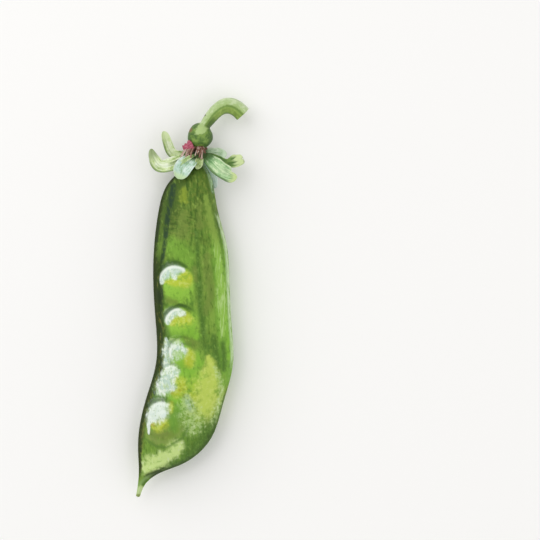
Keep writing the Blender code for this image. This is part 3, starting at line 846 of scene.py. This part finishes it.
def lobe(midrib, width, blunt, face, cup, seed, fork=0.0, flare=0.0, step=0.0, root=ROOT_SHARE,
         thickness=LOBE_THICKNESS, waves=0.07):
    """A blade carried along its midrib. Across is the cosine of the turn round its edge; the half width
    widens from the root as 1 - (1 - u)^3 and ends as the root of 1 - u^blunt; the blade is cupped by
    across^2, waved near its edge, and as thick as a power of the turn's sine. Gives the rings, and for
    each point u, across and a number of the lobe's own."""
    line = spline(midrib)
    u = (1 - (1 - np.linspace(0.0, 1.0, LOBE_ROWS)) ** 1.5)[:, None] * LOBE_END
    turn = full_turn(LOBE_SIDES)
    across = np.cos(turn)
    through = np.sign(np.sin(turn)) * np.abs(np.sin(turn)) ** RIM_POWER
    tangent = unit(line(np.minimum(u + 0.02, 1)) - line(np.maximum(u - 0.02, 0)))
    side = unit(np.cross(np.array(face), tangent))
    normal = np.cross(tangent, side)
    widening = 1 - (1 - root) * (1 - u) ** 3
    closing = (1 - u**blunt) ** 0.5
    half = width / 2 * widening * closing * (1 + flare * rise(0.66, 0.9, u))
    half = half * (1 - step * rise(0.76, 0.83, u) * (across > 0) * np.abs(across))
    half = half * (1 + waves * ripple(seed, u * 14, across * 2.5) * rise(0.15, 0.5, u))
    prongs = 0.5 - 0.5 * np.cos(across * 3 * math.pi)
    reach = u * (1 - fork * prongs)
    wave = ripple(seed + 9, u * 8, across * 1.2) * rise(0.2, 0.6, u)
    wave = 0.9 * waves * width * np.abs(across) ** 3 * wave
    veins = FIBRE_RISE * np.cos(across * 20) * closing - MIDRIB_DEPTH * bump(across, MIDRIB_WIDTH)
    lift = cup * 2 * half * across**2 + wave + veins
    lift = lift + through * thickness / 2 * (TIP_THICKNESS + (1 - TIP_THICKNESS) * closing)
    rings = line(reach) + side * (across * half)[..., None] + normal * lift[..., None]
    return rings, stacked(u, across, seed * 0.37)


def calyx():
    for seed, (name, shape) in enumerate(CALYX_LOBES.items()):
        rings, blade = lobe(seed=seed, **shape)
        material = leaf_paint(f"leaf_{name}", *LOBE_COLOURS[name], edge=EDGED.get(name))
        piece = closed_piece(f"calyx_{name}", rings, "calyx_leaf", material, blade=blade)
        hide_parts("calyx")
    hub()


# The hub's profile: height along the stalk's axis and radius
HUB_PROFILE = [(-0.95, 0.4), (-0.7, 1.5), (-0.1, 2.25), (0.5, 2.15), (1.0, 1.8), (1.45, 1.5)]
HUB_ROWS = 60
HUB_SIDES = 96
HUB_RIBS = 10
HUB_RIB_HEIGHT = 0.035


def hub():
    """The cup that the lobes grow from: a turned profile round the Y axis, ribbed by a cosine."""
    profile = spline(HUB_PROFILE)(np.linspace(0, 1, HUB_ROWS))
    turn = full_turn(HUB_SIDES)
    ribs = np.cos(turn * HUB_RIBS)
    rings = lathe(profile, 1 + HUB_RIB_HEIGHT * ribs, turn)
    blade = stacked(np.full((HUB_ROWS, 1), 0.1), 0.5 + 0.4 * ribs, 0.0)
    material = leaf_paint("leaf_hub", "4f6a2c", "33451a", "8fae62", "8fae62")
    piece = closed_piece("calyx_hub", rings, "calyx_leaf", material, blade=blade)
    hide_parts("calyx")


def leaf_paint(name, body, shade, light, tip, edge=None):
    """A soft leaf: painted shade at the root, darker along the midrib and veins, light at its ragged rim,
    and with a dark line along one edge where the edge is given as its side and colour."""
    paint = Paint(name, Roughness=0.55, Specular_IOR_Level=0.3)
    u, across, seed = paint.layers("blade")
    x, y, z = paint.place()
    wash = paint.noise(x, y, z, scale=0.8, detail=4.0, rough=0.6)
    fibre = paint.noise(u * 2.2 + seed, across * 3.4, seed, scale=1.6, rough=0.6)
    vein = across.size() * 3.4 + u * 1.6 + (fibre - 0.5) * 0.8
    colour = paint.plain(body).coats(
        (wash.rise(0.5, 0.64) * 0.8, light),
        (wash.rise(0.48, 0.34) * 0.7, shade),
        (fibre.rise(0.53, 0.66) * 0.7, light),
        (fibre.rise(0.47, 0.34) * 0.75, shade),
        ((across + (fibre - 0.5) * 0.6).near(0.0, 0.13) * 0.6, shade),
        ((across.size() + (fibre - 0.5) * 0.3).rise(0.78, 0.95) * 0.7, light),
        (vein.near(1.5, 0.16).at_least(vein.near(2.6, 0.16)) * 0.35, shade))
    if edge:
        # On the front right lobe this dark edge line is a painted shadow
        side, line_colour = edge
        line = (across * side + (wash - 0.5) * 0.5).rise(0.6, 0.84)
        line = line * (u + (fibre - 0.5) * 0.6).rise(0.95, 0.7)
        glow = (across * side + (fibre - 0.5) * 0.8).near(-0.2, 0.55) * u.near(0.6, 0.3)
        colour = colour.coats((line * 0.85, line_colour), (glow * 0.6, light))
    # Painted shade: each lobe darkens towards its root at the hub
    root = (u + (fibre - 0.5) * 0.6 - across.size() * 0.12).rise(0.22, 0.02)
    colour = colour.coats(
        ((u + (wash - 0.5) * 0.5).rise(0.4, 0.08) * 0.85, shade),
        (root * 0.75, "3f5a26"),
        ((u + (fibre - 0.5) * 0.25).rise(0.76, 0.9) * 0.9, tip))
    return paint.finish(colour, 0.5 + wash * 0.15, fibre, relief=0.12)


# The stalk's middle line and its radius at each point, from the knob's middle to the cut end
KNOB_CENTRE = (0.4, 5.35, 0.0)
KNOB_RADIUS = 3.2
STALK_ROUTE = [
    (0.05, 2.15, 0.0, 0.3), (0.4, 5.35, 0.0, 1.0), (1.45, 7.9, 0.0, 1.33), (2.9, 10.0, 0.0, 1.6),
    (4.7, 11.9, -0.2, 1.75), (7.0, 13.0, -0.5, 1.95), (9.3, 12.4, -0.8, 2.0), (11.0, 10.9, -1.0, 1.98),
]
STALK_ROWS = 420
STALK_SIDES = 72
STALK_RIBS = 9
# The dished cut from its rim inwards: share of the radius, and how far it stands out
CUT_FACE = [
    (1.0, 0.06), (0.95, 0.1), (0.86, 0.08), (0.74, 0.0), (0.6, -0.08), (0.45, -0.12), (0.3, -0.1),
    (0.15, -0.06),
]
CUT_INSET = 0.97
CUT_MIDDLE = -0.04


def tube(points, radius, turn):
    """Rings square to a line of points, with a radius (row, 1) or (row, side); a turn of 0 lies in the
    plane of the floor."""
    tangent = unit(np.gradient(points, axis=0))
    side = unit(np.cross(tangent, (0.0, 0.0, 1.0)))
    normal = np.cross(side, tangent)
    outward = np.cos(turn)[..., None] * side[:, None] + np.sin(turn)[..., None] * normal[:, None]
    return points[:, None] + radius[..., None] * outward


def stalk():
    """One skin over knob and pedicel: the radius is the smooth greatest of the knob's half circle and
    the pedicel's own radius, finely ribbed, and closed at the cut by a shallow dish."""
    route = spline(STALK_ROUTE)(np.linspace(0, 1, STALK_ROWS))
    points = route[:, :3]
    along = travelled(points)
    knob = np.sqrt(np.clip(KNOB_RADIUS**2 - (along - KNOB_RADIUS) ** 2, 0, None))
    pedicel = route[:, 3] * rise(2.5, 5.5, along)
    radius = (knob**6 + pedicel**6 + 1e-9) ** (1 / 6)
    turn = full_turn(STALK_SIDES)
    level = along[:, None]
    ribs = 0.03 * np.cos(turn * STALK_RIBS + level * 0.15) * rise(6.0, 8.0, level)
    bumps = 0.012 * ripple(4, turn * 3, level * 2.0) + 0.02 * ripple(8, level * 0.9, turn)
    shell = tube(points, radius[:, None] * (1 + ribs + bumps), turn)
    tip = points[-1]
    ahead = unit(tip - points[-2])
    share, depth = np.array(CUT_FACE).T[..., None, None]
    cap = tip + ahead * depth + (shell[-1] - tip) * share * CUT_INSET
    rings = np.concatenate([shell, cap])
    levels = np.append(along, np.full(len(CUT_FACE), along[-1]))[:, None]
    inward = np.append(np.ones(STALK_ROWS), share)[:, None]
    piece = closed_piece("stalk_skin", rings, "stalk_skin", stalk_green(), points[0],
                         tip + ahead * CUT_MIDDLE, stem=stacked(levels, -np.cos(turn), inward))
    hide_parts("stalk")


# Single places on the stalk: a painted highlight where it leaves the knob, a brown spot, and a dark speck
HIGHLIGHT_SPOT = (0.55, 6.5)
BROWN_SPOT = (-2.2, 6.9)
DARK_SPECK = (1.5, 10.6)


def knob_green(paint, x, y, z, wash, rag):
    """The knob's mottled green: darker round its rim, painted shade on its lower right, a painted
    highlight where the pedicel leaves it, and brown in one spot."""
    away = square_from(KNOB_CENTRE, x, y) ** 0.5
    above = y - HIGHLIGHT_SPOT[1]
    foot_highlight = ((x - HIGHLIGHT_SPOT[0] - above * 0.5) ** 2 * 0.6 + above.at_most(0.0) ** 2 * 1.5) ** 0.5
    return paint.plain("5f8034").coats(
        ((wash + rag * 0.5).rise(0.48, 0.64) * 0.9, "7f9d48"),
        ((wash + rag * 0.4).rise(0.49, 0.38) * 0.8, "426426"),
        ((away + rag * 0.6).rise(2.2, 3.1) * 0.75, "42642a"),
        # Painted shade on the knob's lower right, away from the light
        ((x - y * 0.4 + rag).rise(0.2, 1.6) * 0.7, "3d5a28"),
        # Painted highlight where the pedicel leaves the knob
        ((foot_highlight + rag * 2.4).rise(1.25, 0.85) * z.rise(0.2, 1.2) * 0.85, "b3cc84"),
        (square_from(BROWN_SPOT, x, y).rise(0.7, 0.1) * 0.6, "86563a"))


def stalk_green():
    """The stalk's green, streaky and light on its outer side, with the knob and the pale cut face."""
    paint = Paint("stalk_green", Roughness=0.48, Specular_IOR_Level=0.35)
    along, outer, inward = paint.layers("stem")
    x, y, z = paint.place()
    wash = paint.noise(x, y, z, scale=0.8, detail=5.0, rough=0.6)
    fine = paint.noise(x, y, z, scale=2.4, detail=4.0, rough=0.6)
    rag = (fine - 0.5) * 0.5 + (wash - 0.5) * 0.5
    grain = paint.noise(along * 0.6, outer * 2.2, inward, scale=1.3, detail=4.0, rough=0.6)
    colour = paint.plain("87a34a").coats(
        ((wash + fine * 0.5).rise(0.7, 0.9) * 0.7, "a0b95e"),
        ((outer + rag * 0.6).rise(-0.1, 0.2), "a9c27e"),
        ((outer + rag * 1.5).rise(0.3, 0.7) * 0.6, "bccf9c"),
        ((outer + rag * 0.5).rise(0.7, 0.95) * 0.7, "c3d3aa"),
        (grain.rise(0.52, 0.66) * outer.rise(-0.1, 0.3) * 0.6, "d2dfb6"),
        (grain.rise(0.48, 0.36) * outer.rise(-0.1, 0.3) * 0.45, "93b068"),
        (grain.rise(0.53, 0.66) * outer.rise(0.0, -0.4) * 0.5, "6f8a3a"),
        ((outer + rag * 0.3).near(-0.1, 0.24) * 0.7, "5f8038"),
        ((outer + rag * 0.3).rise(-0.8, -0.97) * 0.5, "557a30"),
        ((outer + rag * 0.4).rise(0.0, -0.5) * along.rise(10.5, 7.5) * 0.8, "3d5c25"),
        (along.rise(6.3, 5.6), knob_green(paint, x, y, z, wash, rag)),
        (square_from(DARK_SPECK, x, y).rise(0.14, 0.04) * 0.8, "4c5233"),
        (inward.rise(0.97, 0.93), "a9c070"),
        (inward.rise(0.72, 0.62), "dfe8c4"),
        (inward.rise(0.34, 0.26), "b9cf8e"))
    return paint.finish(colour, 0.42 + wash * 0.2, fine, relief=0.14)


# The flower's dried petal: three ragged scraps beside the knob
PETALS = [
    dict(midrib=[(-1.5, 3.3, 2.3), (-2.5, 2.8, 2.35), (-3.8, 1.9, 2.0)], width=2.0, blunt=12,
         face=(-0.25, 0.0, 1.0), cup=-0.1, waves=0.16),
    dict(midrib=[(-1.7, 3.3, 2.1), (-2.2, 3.6, 2.1), (-2.7, 4.2, 1.7)], width=1.2, blunt=6,
         face=(-0.25, 0.1, 1.0), cup=-0.2, waves=0.2),
    dict(midrib=[(-1.4, 2.7, 2.2), (-1.9, 2.2, 2.3), (-2.9, 1.7, 2.1)], width=1.2, blunt=5,
         face=(-0.25, 0.1, 1.0), cup=0.2, waves=0.2),
]
PETAL_THICKNESS = 0.28
FIRST_PETAL_SEED = 20


def petal():
    material = petal_pink()
    for number, shape in enumerate(PETALS):
        rings, blade = lobe(seed=FIRST_PETAL_SEED + number, thickness=PETAL_THICKNESS, **shape)
        piece = closed_piece(f"petal_{number + 1}", rings, "petal_pink", material, blade=blade)
        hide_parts("withered_petal")


def petal_pink():
    """Dry pink paper, fibrous, and pale at the outer corner."""
    paint = Paint("petal_pink", Roughness=0.7, Specular_IOR_Level=0.2)
    u, across, seed = paint.layers("blade")
    fibre = paint.noise(u * 2.0, across * 2.5, seed, scale=2.0, detail=4.0)
    colour = paint.plain("b05468").coats(
        (fibre.rise(0.5, 0.66) * 0.8, "cb8894"),
        (fibre.rise(0.47, 0.36), "8f3a4c"),
        (u.rise(0.7, 0.95) * across.rise(0.2, 0.9) * 0.6, "e0b4ba"))
    return paint.finish(colour, None, fibre, relief=0.12)


# The collar's profile: height along the stalk's axis and radius
COLLAR_PROFILE = [(0.9, 1.2), (1.4, 1.45), (2.1, 1.6), (2.9, 1.5)]
COLLAR_ROWS = 40
COLLAR_SIDES = 60
# The strands' turns round the axis in degrees: first, last and how many, in front and behind
STRAND_TURNS = [(55, 158, 17), (215, 325, 5)]
STRAND_SCATTER = 7
STRAND_ROWS = 44
STRAND_SIDES = 10
# Where a strand's round end starts, and the place and width of the swelling on every third one
STRAND_END = 0.94
ANTHER_PLACE = 0.93
ANTHER_WIDTH = 0.06
ANTHER_RADIUS = 0.13


def collar(material):
    """The ring of the dried flower under the knob: a turned profile round the Y axis, its radius made
    ragged by a cosine of 13 waves and by noise."""
    profile = spline(COLLAR_PROFILE)(np.linspace(0, 1, COLLAR_ROWS))
    turn = full_turn(COLLAR_SIDES)
    uneven = 1 + 0.05 * np.cos(turn * 13) + 0.03 * ripple(6, turn * 5, profile[:, :1])
    rings = lathe(profile, uneven, turn)
    strand = np.full(rings.shape, (0.5, 0.0, 0.2))
    piece = closed_piece("stamen_collar", rings, "dry_strand", material, strand=strand)
    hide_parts("withered_stamens")


def stamens():
    """The dried flower's heart: a ragged collar under the knob, and thin strands that bend over it and
    down between the lobes, each a tube on a smooth line that starts square to the stalk."""
    material = strand_brown()
    collar(material)
    draw = np.random.default_rng(5)
    turns = np.concatenate([np.linspace(*spread) for spread in STRAND_TURNS])
    turns = turns + draw.uniform(-STRAND_SCATTER, STRAND_SCATTER, len(turns))
    t = np.linspace(0, 1, STRAND_ROWS)
    round_end = np.clip((t - STRAND_END) / (1 - STRAND_END), 0, None)
    ends = np.sqrt(np.clip(1 - round_end**2, 0.03, 1))
    turn = full_turn(STRAND_SIDES)
    for number, degrees in enumerate(turns):
        out = np.array([math.cos(math.radians(degrees)), 0, math.sin(math.radians(degrees))])
        leftward = rise(100.0, 150.0, degrees) * (degrees < 180)
        fall = draw.uniform(0.6, 2.9) + 0.5 * leftward
        spread = draw.uniform(-1.1, 0.5) - 0.9 * leftward
        lift = max(0.0, 2.9 - 3.35 * out[2]) * (degrees < 180)
        line = spline([out * 1.35 + (0, 2.6, 0), out * 2.3 + (0, 2.4, lift * 0.3),
                       out * 3.0 + (spread * 0.5, 1.6, lift * 0.8),
                       out * 3.35 + (spread, 2.1 - fall, lift)])
        thick = draw.uniform(0.13, 0.34)
        anther = ANTHER_RADIUS * bump(t - ANTHER_PLACE, ANTHER_WIDTH) * (number % 3 == 0)
        radius = (thick * (1 - 0.35 * t) + anther) * ends
        rings = tube(line(t), radius[:, None], turn)
        strand = stacked(t[:, None], np.zeros_like(turn), draw.uniform(0, 1))
        piece = closed_piece(f"stamen_{number + 1}", rings, "dry_strand", material, strand=strand)
        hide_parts("withered_stamens")


def strand_brown():
    """Dry browns that differ from strand to strand, greenish at the root."""
    paint = Paint("strand_brown", Roughness=0.7, Specular_IOR_Level=0.2)
    t, _, tone = paint.layers("strand")
    x, y, z = paint.place()
    wash = paint.noise(x, y, z, scale=1.4, detail=4.0)
    tone_here = tone + (wash - 0.5)
    colour = paint.plain("6c4a3c").coats(
        (tone_here.rise(0.25, 0.5), "967060"),
        (tone_here.rise(0.5, 0.7), "ac9084"),
        ((tone + (wash - 0.5) * 0.5).rise(0.84, 0.94), "cbb8ac"),
        (t.rise(0.25, 0.0) * 0.6, "8a9a55"))
    return paint.finish(colour, None, wash, relief=0.1)


# The camera, in millimetres
CAMERA_HEIGHT = 900.0
SENSOR_WIDTH = 36.0
# Lamps: name, place in metres, width in metres, watts
LAMPS = [("key", (-0.42, 0.4, 0.56), 0.9, 3.2), ("fill", (0.5, -0.2, 0.6), 0.9, 1.4)]
WORLD_LIGHT = 0.66
# The floor reaches this far from the middle, and the camera sees this far, both in metres
FLOOR_REACH = 2
SIGHT = 10.0


def stage():
    """A pale floor, a soft key light from the upper left, a weaker one from the right, and a camera
    straight above that puts each point of the object on its own pixel of the photograph."""
    offset = np.array([FRAME_PIXELS / 2 - NECK_PIXEL[0], NECK_PIXEL[1] - FRAME_PIXELS / 2, 0.0]) * PIXEL
    camera = bpy.data.cameras.new("camera")
    camera.sensor_width = SENSOR_WIDTH
    camera.lens = SENSOR_WIDTH * CAMERA_HEIGHT / (FRAME_PIXELS * PIXEL)
    camera.clip_end = SIGHT
    eye = placed("camera", camera)
    eye.location = (NECK + offset + (0.0, 0.0, CAMERA_HEIGHT)) * MM
    bpy.context.scene.camera = eye

    mesh = bpy.data.meshes.new("floor")
    corners = [(-1, -1), (1, -1), (1, 1), (-1, 1)]
    mesh.from_pydata([(x * FLOOR_REACH, y * FLOOR_REACH, 0) for x, y in corners], [], [(0, 1, 2, 3)])
    mesh.materials.append(Paint("floor_white", Roughness=0.9, Specular_IOR_Level=0.2).finish("f8f7f5"))
    floor = placed("floor", mesh)

    for name, place, width, power in LAMPS:
        lamp = bpy.data.lights.new(name, "AREA")
        lamp.size = width
        lamp.energy = power
        holder = placed(name, lamp)
        holder.location = place
        distance = math.hypot(*place)
        holder.rotation_euler = (math.acos(place[2] / distance), 0.0,
                                 math.atan2(place[1], place[0]) + math.pi / 2)

    world = bpy.data.worlds.new("studio")
    world.use_nodes = True
    background = world.node_tree.nodes["Background"]
    background.inputs["Color"].default_value = (1.0, 1.0, 1.0, 1.0)
    background.inputs["Strength"].default_value = WORLD_LIGHT
    bpy.context.scene.world = world
    bpy.context.scene.view_settings.view_transform = "Standard"


stage()
pod_skin()
calyx()
stalk()
petal()
stamens()
